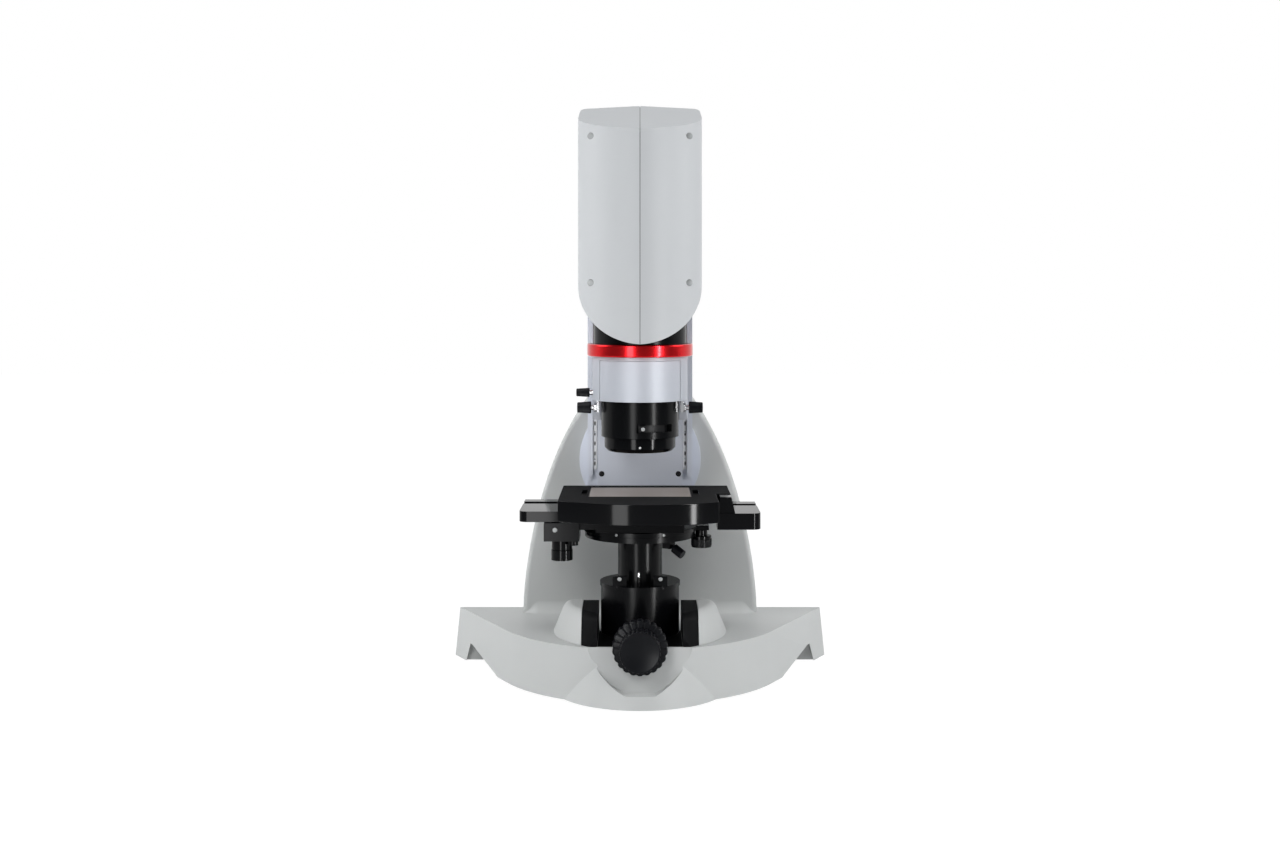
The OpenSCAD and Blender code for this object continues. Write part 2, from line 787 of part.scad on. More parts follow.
module filter_knob() color([0.05, 0.05, 0.05]) place() union() {
    bar_x(-filter_x, -holder_r - 3, filter_r, 0, filter_z);
    bar_x(-holder_r - 3, -slide_x - 3, pin_r, 0, filter_z);
}

module objective_slide() color("silver") place() difference() {
    intersection() {
        bar_z(holder_z0, slide_top, holder_r);
        block(-slide_x, slide_x, -holder_r - 1, slide_back, holder_z0 - 1, slide_top + 1);
    }
    bar_z(holder_z0 - 1, slide_top + 1, zoom_r - 2);
}

iris_z0 = barrel_z0 + 7;
iris_h = 8;
iris_slot = 59;
iris_start = -5;

// A sector of a pipe, from the front towards the right
module sector(z0, z1, r, bore, a0, a1) {
    translate([0, 0, z0]) rotate([0, 0, a0 - 90]) rotate_extrude(angle = a1 - a0)
        translate([bore, 0]) square([r - bore, z1 - z0]);
}

module objective_barrel() color([0.07, 0.07, 0.07]) place() difference() {
    bar_z(barrel_z0, holder_z0, barrel_r);
    bar_z(barrel_z0 - 1, holder_z0 - 4, barrel_bore);
    bar_z(barrel_z0, holder_z0 + 1, zoom_r - 2);
    sector(iris_z0, iris_z0 + iris_h, barrel_r + 1, barrel_bore - 1, iris_start, iris_start + iris_slot);
}

module iris_ring() color("dimgray") place() union() {
    pipe_z(iris_z0 - 2, iris_z0 + iris_h + 2, barrel_bore - run, barrel_bore - 4);
    sector(iris_z0 + 1, iris_z0 + iris_h - 1, barrel_r + 3, barrel_bore - 2, 0, 8);
}

module objective_nose() color([0.05, 0.05, 0.05]) place() rotate_extrude() polygon([
    [lens_r, nose_z0 + 4], [lens_r + 4, nose_z0], [nose_r - 4, nose_z0], [nose_r, nose_z0 + 4],
    [nose_r, barrel_z0], [lens_r, barrel_z0]
]);

module objective_lens() color([0.6, 0.75, 0.8]) place()
    bar_z(nose_z0 + 6, nose_z0 + 11, lens_r - eps);

module lift_housing() color([0.08, 0.08, 0.08]) place() difference() {
    bar_z(base_top - 16, housing_z - cap_t, housing_r);
    bar_z(base_top - 17, housing_z - cap_t - 8, housing_r - housing_wall);
    bar_z(base_top - 17, housing_z, lift_r + 1);
    bar_y(-housing_r - 1, 0, knob_shaft_r + 3 + eps, 0, knob_z);
}

stop_x = 22;
stop_half = 7.5;
stop_y = 7 - housing_r;
stop_h = 11;

module lift_cap() color([0.1, 0.1, 0.1]) place() union() {
    pipe_z(housing_z - cap_t, housing_z, housing_r + 1, lift_r + run);
    for (s = [-1, 1])
        block(s * stop_x - stop_half, s * stop_x + stop_half, stop_y, stop_y + 5, housing_z - eps,
            housing_z + stop_h);
}

module stop_screws() color("white") place() for (s = [-1, 1])
    bar_y(stop_y - 3, stop_y, 2.2, s * stop_x, housing_z + stop_h - 2.4);

module shaft_bush() color("goldenrod") place() difference() {
    bar_y(-housing_r - 9, -housing_r + housing_wall + 1, knob_shaft_r + 3, 0, knob_z);
    bar_y(-housing_r - 10, -housing_r + housing_wall + 2, knob_shaft_r + run, 0, knob_z);
}

module lift_tube() color([0.1, 0.1, 0.1]) place() difference() {
    pipe_z(lift_z0, bearing_z0, lift_r, lift_r - lift_wall);
    block(-knob_shaft_r - 2, knob_shaft_r + 2, -lift_r - 1, 0, knob_z - knob_shaft_r - 2,
        knob_z + lift_travel + knob_shaft_r + 2);
}

rack_back = sqrt(pow(lift_r - lift_wall, 2) - 25) - 0.05;

module lift_rack() color("gray") place() translate([0, 5, 0]) rotate([90, 0, 0]) linear_extrude(10) union() {
    translate([rack_x, lift_z0 + 2]) square([rack_back - rack_x, 62]);
    for (k = [-3 : 12]) translate([rack_x, knob_z + k * tooth_pitch]) polygon([
        [eps, -0.28 * tooth_pitch], [eps, 0.28 * tooth_pitch],
        [-2.1 * module_mm, 0.12 * tooth_pitch], [-2.1 * module_mm, -0.12 * tooth_pitch]
    ]);
}

// Toothed wheel whose tooth gap faces the rack at rest
module pinion() {
    step = 360 / pinion_teeth;
    root = pinion_r - 1.2 * module_mm;
    tip = pinion_r + 0.9 * module_mm;
    rotate([90, 0, 0]) linear_extrude(9) polygon([
        for (i = [0 : pinion_teeth - 1], p = [[root, 0.2], [tip, 0.38], [tip, 0.62], [root, 0.8]])
            p[0] * [cos((i + p[1]) * step), sin((i + p[1]) * step)]
    ]);
}

module pinion_shaft() color("gray") place() union() {
    bar_y(knob_front + 4, 6, knob_shaft_r, 0, knob_z);
    translate([0, 4.5, knob_z]) pinion();
}

module coarse_knob() color([0.06, 0.06, 0.06]) place() difference() {
    bar_y(knob_back - coarse_l, knob_back, coarse_r, 0, knob_z);
    for (i = [0 : 23]) translate([0, 0, knob_z]) rotate([0, i * 15, 0])
        bar_y(knob_back - coarse_l - 1, knob_back + 1, 2.2, coarse_r + 0.9, 0);
    bar_y(knob_front, knob_back + 1, knob_shaft_r + eps, 0, knob_z);
}

module fine_knob() color([0.06, 0.06, 0.06]) place() difference() {
    bar_y(knob_front, knob_front + fine_l, fine_r, 0, knob_z);
    for (i = [0 : 35]) translate([0, 0, knob_z]) rotate([0, i * 10, 0])
        bar_y(knob_front + 3, knob_front + fine_l - 2, 0.9, fine_r + 0.3, 0);
    bar_y(knob_front + 3, knob_back, knob_shaft_r + run, 0, knob_z);
}

pivot_r = 8;
lock_a = -35;
lock_tip = 30;
lock_r = 2;
lug_x = 37.8;
lug_half = 5;
lug_h = 11;
lock_z = bearing_z0 - 6;

// Along the lock screw: out from the lug and down
module lock_axis() {
    rotate([0, 0, lock_a]) translate([lug_x, 0, lock_z]) rotate([0, lock_tip, 0]) children();
}

module bearing_disc() color([0.08, 0.08, 0.08]) place() difference() {
    union() {
        bar_z(bearing_z0, bearing_z1, bearing_r);
        pipe_z(hub_z0, bearing_z0 + eps, hub_r, lift_r + eps);
        bar_z(bearing_z1 - eps, table_z1, pivot_r);
        rotate([0, 0, lock_a]) block(lug_x - lug_half, lug_x + lug_half, -lug_half, lug_half,
            bearing_z0 - lug_h, bearing_z0 + eps);
    }
    lock_axis() bar_x(-lug_h, lug_h, lock_r + run);
}

module lock_screw() color([0.06, 0.06, 0.06]) place() lock_axis() union() {
    bar_x(-4, 10, lock_r);
    bar_x(8.5, 21, 5);
}

module turntable() color([0.1, 0.1, 0.1]) place() difference() {
    union() {
        bar_z(table_z0, table_z1, bearing_r + 1.5);
        block(bearing_r - 8, turn_x + 8, -9, 9, table_z0, table_z1);
    }
    bar_z(table_z0 - 1, table_z1 + 1, pivot_r + run);
    bar_z(table_z0 - 1, table_z1 + 1, drive_shaft_r + run, turn_x, 0);
}

module rotation_knob() color([0.06, 0.06, 0.06]) place() union() {
    bar_z(bearing_z0 - 13, bearing_z0 - 0.5, drive_r - 0.75, turn_x, 0);
    bar_z(bearing_z0 - 1, bearing_z1, turn_r, turn_x, 0);
    bar_z(bearing_z1 - 1, table_z1, drive_shaft_r, turn_x, 0);
}

slide_front = -60;
module cross_slide() color([0.1, 0.1, 0.1]) place() union() {
    block(-channel_left, channel_left, slide_front, stage_back - 5, slide_z0, slide_z1);
    block(gear_x1, -channel_left, gear_y - 14, gear_y + 14, slide_z0, gear_z1);
}

post_r = 5.6;
post_h = 5;
module drive_gearbox() color([0.08, 0.08, 0.08]) place() difference() {
    union() {
        block(gear_x0, gear_x1, gear_y - gear_half, gear_y + gear_half, gear_z0, gear_z1);
        bar_z(gear_z0 - post_h, gear_z0, post_r, gear_x1 - 7, gear_y - 12);
    }
    bar_z(gear_z0 - 1, gear_z1 + 1, drive_shaft_r + run, drive_x, gear_y);
    bar_z(gear_z0 - 1, gear_z0 + 6, sleeve_r + run, drive_x, gear_y);
}

module y_drive_knob() color([0.06, 0.06, 0.06]) place() difference() {
    union() {
        bar_z(gear_z0 - gap - drive_h, gear_z0 - gap, drive_r - 0.5, drive_x, gear_y);
        bar_z(gear_z0 - 1, gear_z0 + 5.5, sleeve_r, drive_x, gear_y);
    }
    bar_z(gear_z0 - 40, gear_z0 + 40, drive_shaft_r + run, drive_x, gear_y);
}

module x_drive_knob() color([0.06, 0.06, 0.06]) place() union() {
    bar_z(gear_z0 - 2 * gap - 2 * drive_h, gear_z0 - 2 * gap - drive_h, drive_r, drive_x, gear_y);
    bar_z(gear_z0 - drive_h - 2, gear_z1 - 1, drive_shaft_r, drive_x, gear_y);
}

module stage_plate() color([0.09, 0.08, 0.07]) place() difference() {
    translate([0, 0, stage_z0]) linear_extrude(stage_t) intersection() {
        translate([-stage_left, -stage_front]) square([stage_left + stage_right, stage_front + stage_back]);
        translate([(stage_right - stage_left) / 2, stage_bow_r - stage_front]) circle(stage_bow_r);
    }
    block(notch_x, stage_right + 1, -stage_front, notch_y, stage_z0 - 1, stage_top + 1);
    block(-insert_w / 2, insert_w / 2, -insert_d / 2, insert_d / 2, stage_top - insert_t, stage_top + 1);
    for (s = [-1, 1]) block(s * (insert_w / 2 + 6) - 3, s * (insert_w / 2 + 6) + 3, -18, 18,
        stage_top - insert_t, stage_top + 1);
}

module stage_insert() color([0.12, 0.11, 0.1]) place()
    block(-insert_w / 2 + gap, insert_w / 2 - gap, -insert_d / 2 + gap, insert_d / 2 - gap,
        stage_top - insert_t, stage_top);

arm_z0 = table_z1 + 0.6;
arm_z1 = stage_z0 + 4.3;

wing_round = 9;

// An arm of a wing out to wing_x, with its outer front corner rounded
module wing_arm(x0, z0, z1) {
    block(x0, wing_x - wing_round, arm_y0, arm_y1, z0, z1);
    block(x0, wing_x, arm_y0 + wing_round, arm_y1, z0, z1);
    bar_z(z0, z1, wing_round, wing_x - wing_round, arm_y0 + wing_round);
}

module stage_wings() color([0.09, 0.08, 0.07]) place() union() {
    scale_block();
    mirror([1, 0, 0]) wing_arm(stage_left, gear_z1 + 0.5, gear_z1 + 0.5 + wing_t);
    block(-wing_x, -stage_left, bar_y0, bar_y1, arm_z1, arm_z1 + bar_t);
    wing_arm(stage_right, arm_z0, arm_z1);
    block(notch_x, stage_right + eps, arm_y0, notch_y, arm_z0, arm_z1);
    block(stage_right, wing_x, bar_y0, bar_y1, arm_z1 - bar_t, arm_z1);
}

module scale_block() {
    translate([notch_x + gap, arm_y0 + 20, arm_z1]) rotate([90, 0, 0]) linear_extrude(18)
        polygon([[0, 0], [19, 0], [15, stage_top - arm_z1 - 0.5], [3, stage_top - arm_z1 - 0.5]]);
}

base_casting();
bottom_cover();
rubber_feet();
collar_cheeks();
collar_liners();
tower_casting();
tower_rear_cover();
rear_panel();
rear_sockets();
power_switch();
control_board();
tilt_bearing();
tilt_disc();
tilt_shaft();
tilt_nut();
column_profile();
column_front_plate();
column_screws();
guide_rails();
focus_motor();
focus_spindle();
focus_carriage();
head_chassis();
head_cover_left();
head_cover_right();
head_cover_screws();
optics_tube();
zoom_barrel();
camera_board();
red_ring();
objective_holder();
release_brackets();
release_button_left();
release_button_right();
filter_knob();
objective_slide();
objective_barrel();
objective_nose();
objective_lens();
iris_ring();
lift_housing();
lift_cap();
stop_screws();
shaft_bush();
lift_tube();
lift_rack();
bearing_disc();
pinion_shaft();
coarse_knob();
fine_knob();
lock_screw();
turntable();
rotation_knob();
cross_slide();
drive_gearbox();
x_drive_knob();
y_drive_knob();
stage_plate();
stage_insert();
stage_wings();
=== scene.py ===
"""Digital microscope: materials, added detail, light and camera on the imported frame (metres)."""
import json
import math
import bpy
import numpy as np
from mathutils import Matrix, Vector

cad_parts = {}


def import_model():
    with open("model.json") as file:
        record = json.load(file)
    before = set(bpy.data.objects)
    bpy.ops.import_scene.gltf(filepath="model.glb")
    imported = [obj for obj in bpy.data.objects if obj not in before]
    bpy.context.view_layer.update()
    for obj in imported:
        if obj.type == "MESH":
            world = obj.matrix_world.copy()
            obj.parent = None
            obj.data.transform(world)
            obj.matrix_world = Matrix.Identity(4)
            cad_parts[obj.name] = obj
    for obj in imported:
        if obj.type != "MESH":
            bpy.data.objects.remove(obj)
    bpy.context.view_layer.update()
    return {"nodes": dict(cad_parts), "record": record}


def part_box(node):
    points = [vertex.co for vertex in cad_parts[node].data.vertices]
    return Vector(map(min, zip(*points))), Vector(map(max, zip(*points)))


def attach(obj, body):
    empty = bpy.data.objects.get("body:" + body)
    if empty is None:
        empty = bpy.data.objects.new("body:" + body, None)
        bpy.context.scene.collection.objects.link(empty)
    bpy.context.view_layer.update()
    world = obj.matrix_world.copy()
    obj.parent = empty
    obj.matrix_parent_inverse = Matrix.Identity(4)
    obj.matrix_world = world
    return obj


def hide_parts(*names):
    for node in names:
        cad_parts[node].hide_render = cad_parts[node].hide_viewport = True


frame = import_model()
NODES = frame["nodes"]
MM = 0.001
# Corners nearer than this are joined
MERGE = 0.000002
# Name endings of pieces on the left and on the right
HAND = {-1: "l", 1: "r"}
RING_LOW, RING_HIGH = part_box("red_ring")
AXIS_Y = (RING_LOW.y + RING_HIGH.y) / 2


# Shader groups
FLOAT, COLOUR, VECTOR = "NodeSocketFloat", "NodeSocketColor", "NodeSocketVector"


def new_group(name, inputs, outputs):
    """An empty shader group; inputs are (name, type, value), outputs (name, type)."""
    tree = bpy.data.node_groups.new(name, "ShaderNodeTree")
    for label, kind, value in inputs:
        tree.interface.new_socket(label, in_out="INPUT", socket_type=kind).default_value = value
    for label, kind in outputs:
        tree.interface.new_socket(label, in_out="OUTPUT", socket_type=kind)
    return tree, tree.nodes.new("NodeGroupInput"), tree.nodes.new("NodeGroupOutput")


def add(tree, kind, **settings):
    """A node of that kind with its properties set."""
    node = tree.nodes.new(kind)
    for key, value in settings.items():
        setattr(node, key, value)
    return node


def grain_group():
    """Noise stretched by Stretch gives a bump of Depth and a roughness of Level +- Spread."""
    tree, a, b = new_group(
        "surface_grain",
        [("Scale", FLOAT, 900.0), ("Stretch", VECTOR, (1, 1, 1)), ("Depth", FLOAT, 0.0001),
         ("Level", FLOAT, 0.4), ("Spread", FLOAT, 0.1)],
        [("Roughness", FLOAT), ("Normal", VECTOR)])
    place = add(tree, "ShaderNodeTexCoord")
    stretch = add(tree, "ShaderNodeVectorMath", operation="MULTIPLY")
    noise = add(tree, "ShaderNodeTexNoise")
    noise.inputs["Detail"].default_value = 2.0
    span = add(tree, "ShaderNodeMath", operation="SUBTRACT")
    span.inputs[1].default_value = 0.5
    rough = add(tree, "ShaderNodeMath", operation="MULTIPLY_ADD", use_clamp=True)
    bump = add(tree, "ShaderNodeBump")
    bump.inputs["Strength"].default_value = 1.0
    link = tree.links.new
    link(place.outputs["Object"], stretch.inputs[0])
    link(a.outputs["Stretch"], stretch.inputs[1])
    link(stretch.outputs[0], noise.inputs["Vector"])
    link(a.outputs["Scale"], noise.inputs["Scale"])
    link(noise.outputs[0], span.inputs[0])
    link(span.outputs[0], rough.inputs[0])
    link(a.outputs["Spread"], rough.inputs[1])
    link(a.outputs["Level"], rough.inputs[2])
    link(noise.outputs[0], bump.inputs["Height"])
    link(a.outputs["Depth"], bump.inputs["Distance"])
    link(rough.outputs[0], b.inputs["Roughness"])
    link(bump.outputs[0], b.inputs["Normal"])
    return tree


def tone_group():
    """Colour x (1 + Amount x (noise - 0.5)) in broad patches, so that no large face is one flat tone."""
    tree, a, b = new_group(
        "broad_tone",
        [("Colour", COLOUR, (0.5, 0.5, 0.5, 1)), ("Amount", FLOAT, 0.1), ("Scale", FLOAT, 9.0)],
        [("Colour", COLOUR)])
    place = add(tree, "ShaderNodeTexCoord")
    noise = add(tree, "ShaderNodeTexNoise")
    noise.inputs["Detail"].default_value = 3.0
    span = add(tree, "ShaderNodeMath", operation="SUBTRACT")
    span.inputs[1].default_value = 0.5
    gain = add(tree, "ShaderNodeMath", operation="MULTIPLY_ADD")
    gain.inputs[2].default_value = 1.0
    tint = add(tree, "ShaderNodeVectorMath", operation="SCALE")
    link = tree.links.new
    link(place.outputs["Object"], noise.inputs["Vector"])
    link(a.outputs["Scale"], noise.inputs["Scale"])
    link(noise.outputs[0], span.inputs[0])
    link(span.outputs[0], gain.inputs[0])
    link(a.outputs["Amount"], gain.inputs[1])
    link(a.outputs["Colour"], tint.inputs[0])
    link(gain.outputs[0], tint.inputs["Scale"])
    link(tint.outputs[0], b.inputs["Colour"])
    return tree


def dull_top_group():
    """Roughness that rises to Top where the surface faces up, as a milled face beside a turned edge."""
    tree, a, b = new_group(
        "dull_top", [("Roughness", FLOAT, 0.1), ("Top", FLOAT, 0.9)], [("Roughness", FLOAT)])
    split = add(tree, "ShaderNodeSeparateXYZ")
    up = add(tree, "ShaderNodeMapRange")
    up.inputs["From Min"].default_value = 0.75
    up.inputs["From Max"].default_value = 0.98
    tree.links.new(add(tree, "ShaderNodeTexCoord").outputs["Normal"], split.inputs[0])
    tree.links.new(split.outputs["Z"], up.inputs["Value"])
    tree.links.new(a.outputs["Roughness"], up.inputs["To Min"])
    tree.links.new(a.outputs["Top"], up.inputs["To Max"])
    tree.links.new(up.outputs[0], b.inputs["Roughness"])
    return tree


def slot_shade_group():
    """Row of dark ovals, painted shade of the rail's slots: ((|x| - Row) / Wide)^2 + ((z mod Pitch - Pitch /
    2) / Tall)^2 < 1.
    """
    tree, a, b = new_group(
        "slot_shade_row",
        [("Colour", COLOUR, (0.6, 0.6, 0.6, 1)), ("Row", FLOAT, 0.0518), ("Wide", FLOAT, 0.001),
         ("Pitch", FLOAT, 0.01), ("Tall", FLOAT, 0.003)],
        [("Colour", COLOUR)])

    def math_node(operation, first, second):
        node = add(tree, "ShaderNodeMath", operation=operation)
        for socket, value in zip(node.inputs, (first, second)):
            if isinstance(value, (int, float)):
                socket.default_value = value
            elif value is not None:
                tree.links.new(value, socket)
        return node.outputs[0]

    split = add(tree, "ShaderNodeSeparateXYZ")
    tree.links.new(add(tree, "ShaderNodeTexCoord").outputs["Object"], split.inputs[0])
    side = math_node("SUBTRACT", math_node("ABSOLUTE", split.outputs["X"], None), a.outputs["Row"])
    wide = math_node("ABSOLUTE", math_node("DIVIDE", side, a.outputs["Wide"]), None)
    across = math_node("POWER", wide, 2)
    phase = math_node("SUBTRACT", math_node("MODULO", split.outputs["Z"], a.outputs["Pitch"]),
                      math_node("MULTIPLY", a.outputs["Pitch"], 0.5))
    tall = math_node("ABSOLUTE", math_node("DIVIDE", phase, a.outputs["Tall"]), None)
    along = math_node("POWER", tall, 2)
    edge = add(tree, "ShaderNodeMapRange", interpolation_type="SMOOTHSTEP")
    edge.inputs["From Min"].default_value = 0.7
    edge.inputs["From Max"].default_value = 1.1
    edge.inputs["To Min"].default_value = 0.01
    tree.links.new(math_node("ADD", across, along), edge.inputs["Value"])
    tint = add(tree, "ShaderNodeVectorMath", operation="SCALE")
    tree.links.new(a.outputs["Colour"], tint.inputs[0])
    tree.links.new(edge.outputs[0], tint.inputs["Scale"])
    tree.links.new(tint.outputs[0], b.inputs["Colour"])
    return tree


GRAIN = grain_group()
TONE = tone_group()


def surface(name, colour, rough, metal=0.0, coat=0.0, scale=900.0, stretch=(1, 1, 1),
            depth=0.00003, spread=0.1, patch=0.06, specular=0.5):
    """A material: Principled BSDF fed by the grain and tone groups."""
    mat = bpy.data.materials.new(name)
    mat.use_nodes = True
    tree = mat.node_tree
    shader = tree.nodes["Principled BSDF"]
    shader.inputs["Metallic"].default_value = metal
    shader.inputs["Coat Weight"].default_value = coat
    shader.inputs["Coat Roughness"].default_value = 0.08
    shader.inputs["Specular IOR Level"].default_value = specular
    grain = add(tree, "ShaderNodeGroup", node_tree=GRAIN)
    for label, value in (("Scale", scale), ("Stretch", stretch), ("Depth", depth),
                         ("Level", rough), ("Spread", spread)):
        grain.inputs[label].default_value = value
    tone = add(tree, "ShaderNodeGroup", node_tree=TONE)
    tone.inputs["Colour"].default_value = (*colour, 1)
    tone.inputs["Amount"].default_value = patch
    tree.links.new(tone.outputs["Colour"], shader.inputs["Base Color"])
    tree.links.new(grain.outputs["Roughness"], shader.inputs["Roughness"])
    tree.links.new(grain.outputs["Normal"], shader.inputs["Normal"])
    return mat


BLACK = (0.0022, 0.0024, 0.0030)
MATS = {
    "grey_casting": surface("grey_paint", (0.54, 0.552, 0.545), 0.45, scale=1500, depth=0.00002,
                            specular=0.1),
    "pale_cover": surface("pale_paint", (0.56, 0.575, 0.587), 0.45, scale=1800, depth=0.00002,
                          specular=0.1),
    "black_metal": surface("black_paint", BLACK, 0.22, scale=1500, depth=0.000005, specular=0.09),
    "black_knob": surface("black_plastic", (0.004, 0.0045, 0.006), 0.30, scale=1200, specular=0.11),
    "black_anodised": surface("black_anodised", BLACK, 0.10, scale=2500, depth=0.000002, spread=0.03,
                              specular=0.1),
    "column_aluminium": surface("column_aluminium", (0.54, 0.57, 0.64), 0.42, metal=0.12,
                                scale=700, stretch=(1, 1, 0.03), depth=0.00001),
    "silver_aluminium": surface("silver_aluminium", (0.42, 0.44, 0.485), 0.5, metal=0.12,
                                scale=2600, depth=0.00003),
    "red_anodised": surface("red_anodised", (0.60, 0.006, 0.010), 0.20, metal=0.9, coat=0.12,
                            scale=2000, depth=0.000005),
    "objective_black": surface("objective_black", BLACK, 0.12, scale=2500, depth=0.000002, spread=0.03,
                               specular=0.1),
    "steel": surface("steel", (0.66, 0.66, 0.67), 0.22, metal=1.0, scale=2500, depth=0.00001),
    "bronze": surface("bronze", (0.45, 0.26, 0.12), 0.35, metal=1.0),
    "dark_metal": surface("dark_metal", (0.006, 0.006, 0.007), 0.4, specular=0.15),
    "socket_plastic": surface("socket_plastic", (0.01, 0.01, 0.011), 0.5),
    "circuit_board": surface("circuit_board", (0.02, 0.12, 0.05), 0.5),
    "lens_glass": surface("lens_coating", (0.02, 0.025, 0.05), 0.05, coat=1.0, depth=0.0),
    "foot_rubber": surface("foot_rubber", (0.012, 0.012, 0.012), 0.75),
}
INSERT_LOOK = surface("insert_plate", (0.30, 0.25, 0.215), 0.34, metal=0.2, scale=1800, spread=0.15)
MARK_LOOK = surface("white_mark", (0.75, 0.75, 0.74), 0.5)
SCREW_LOOK = surface("sunk_screw", (0.32, 0.33, 0.33), 0.5, metal=0.4, scale=2500, specular=0.2)
STAGE_LOOK = surface("stage_black", BLACK, 0.10, scale=2500, depth=0.000002, spread=0.03, specular=0.1)
LINER_LOOK = surface("liner_black", BLACK, 0.5, scale=1500, depth=0.00002, specular=0.04)
# Rail colour with painted shade of its slots: dark ovals, no holes
RAIL_LOOK = surface("rail_slot_shade", (0.62, 0.63, 0.66), 0.45, metal=0.2, scale=1500)
SLOT_OF = {part["node"]: part["material_slot"] for part in frame["record"]["subparts"]}


# Looks and edges of the CAD nodes: edge roundings in mm, and the least fold in degrees that is rounded
BEVEL_MM = {"base_casting": 2.5, "collar_cheeks": 2.0, "head_cover_left": 1.2, "head_cover_right": 1.2,
            "stage_plate": 0.8, "stage_wings": 0.8, "tower_casting": 1.0, "column_profile": 0.8,
            "column_front_plate": 0.6, "red_ring": 1.0, "lift_housing": 1.0, "lift_cap": 0.8,
            "objective_holder": 0.6, "objective_barrel": 0.8, "objective_nose": 0.8}
SMALL_BEVEL_MM = 0.3
BEVEL_FROM = {"base_casting": 24}
SHARP_FOLD = 38
# Pitch and height of the painted slot shade on the rails
SLOT_PITCH, SLOT_TALL = 0.0115, 0.0027


def dress(name, node):
    """Finish of one CAD node: its slot's material, joined triangles and small rounded edges."""
    mesh = node.data
    mesh.materials.clear()
    mesh.materials.append(MATS[SLOT_OF[name]])
    if "custom_normal" in mesh.attributes:
        mesh.attributes.remove(mesh.attributes["custom_normal"])
    mesh.polygons.foreach_set("use_smooth", np.ones(len(mesh.polygons), bool))
    weld = node.modifiers.new("weld", "WELD")
    weld.merge_threshold = MERGE
    flat = node.modifiers.new("flat", "DECIMATE")
    flat.decimate_type = "DISSOLVE"
    flat.angle_limit = math.radians(0.3)
    bevel = node.modifiers.new("bevel", "BEVEL")
    bevel.width = BEVEL_MM.get(name, SMALL_BEVEL_MM) * MM
    bevel.segments = 3
    bevel.limit_method = "ANGLE"
    bevel.angle_limit = math.radians(BEVEL_FROM.get(name, SHARP_FOLD))
    node.modifiers.new("normals", "WEIGHTED_NORMAL")


for node_name, node_object in NODES.items():
    dress(node_name, node_object)


def shade_slots(mat, pitch, tall):
    """Puts a row of painted slot shade, dark ovals, between a material's tone and its shader."""
    tree = mat.node_tree
    colour = tree.nodes["Principled BSDF"].inputs["Base Color"]
    slots = add(tree, "ShaderNodeGroup", node_tree=slot_shade_group())
    slots.inputs["Pitch"].default_value = pitch
    slots.inputs["Tall"].default_value = tall
    tree.links.new(colour.links[0].from_socket, slots.inputs["Colour"])
    tree.links.new(slots.outputs["Colour"], colour)


def dull_top(mat):
    """Takes the gloss from a material's upward faces."""
    tree = mat.node_tree
    rough = tree.nodes["Principled BSDF"].inputs["Roughness"]
    top = add(tree, "ShaderNodeGroup", node_tree=dull_top_group())
    tree.links.new(rough.links[0].from_socket, top.inputs["Roughness"])
    tree.links.new(top.outputs["Roughness"], rough)


# Painted shade of the rail's slots
shade_slots(RAIL_LOOK, SLOT_PITCH, SLOT_TALL)
dull_top(STAGE_LOOK)
NODES["stage_plate"].data.materials[0] = STAGE_LOOK
NODES["guide_rails"].data.materials[0] = RAIL_LOOK
NODES["collar_liners"].data.materials[0] = LINER_LOOK
NODES["objective_barrel"].data.materials[0] = MATS["black_metal"]
NODES["stage_insert"].data.materials[0] = INSERT_LOOK
NODES["head_cover_screws"].data.materials[0] = SCREW_LOOK


# New pieces
SHEET_WALL = 0.1 * MM
SHARP_EDGE = 35


def grid_faces(rows, columns, wrap):
    """Quads of a rows x columns grid of points; wrap closes it along its columns."""
    i = np.arange(rows - 1)[:, None]
    j = np.arange(columns if wrap else columns - 1)[None, :]
    k = (j + 1) % columns
    return np.stack([i * columns + j, i * columns + k, (i + 1) * columns + k, (i + 1) * columns + j],
                    -1).reshape(-1, 4)


def piece(name, points, body, look, wrap=False, stands_for=(), wall=0.0):
    """A grid of points (rows, columns, 3) in metres as a smooth mesh that rides on a body.
    An open sheet gets a wall behind its face."""
    mesh = bpy.data.meshes.new(name)
    mesh.from_pydata(points.reshape(-1, 3).tolist(), [], grid_faces(*points.shape[:2], wrap).tolist())
    mesh.polygons.foreach_set("use_smooth", np.ones(len(mesh.polygons), bool))
    mesh.materials.append(MATS[look])
    obj = bpy.data.objects.new(name, mesh)
    bpy.context.scene.collection.objects.link(obj)
    obj.modifiers.new("weld", "WELD").merge_threshold = MERGE
    if wall:
        obj.modifiers.new("wall", "SOLIDIFY").thickness = wall
    split = obj.modifiers.new("edges", "EDGE_SPLIT")
    split.split_angle = math.radians(SHARP_EDGE)
    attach(obj, body)
    if stands_for:
        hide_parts(*stands_for)
    return obj


def frame_of(axis):
    """The unit axis, and two unit vectors square to it and to each other."""
    a = np.array(axis, float)
    a = a / np.linalg.norm(a)
    u = np.cross(a, (0, 0, 1) if abs(a[2]) < 0.9 else (1, 0, 0))
    u = u / np.linalg.norm(u)
    return a, u, np.cross(a, u)


def turned(name, body, look, base, axis, profile, ribs=0, depth=0.0, power=1.0, steps=48, stands_for=()):
    """P(s, t) = base + a s + R (u cos t + v sin t), R = r(s) - k(s) depth (0.5 + 0.5 cos(ribs t))^power.
    The profile's rows are (s, r, k) in mm."""
    a, u, v = frame_of(axis)
    rows = np.array([(row + (0,))[:3] for row in profile], float)
    t = np.linspace(0, 2 * np.pi, steps, endpoint=False)
    groove = depth * (0.5 + 0.5 * np.cos(ribs * t)) ** power if ribs else np.zeros(steps)
    radius = (rows[:, 1:2] - rows[:, 2:3] * groove[None, :]) * MM
    ring = np.cos(t)[None, :, None] * u + np.sin(t)[None, :, None] * v
    points = np.array(base, float) + rows[:, 0, None, None] * MM * a + radius[..., None] * ring
    return piece(name, points, body, look, wrap=True, stands_for=stands_for)


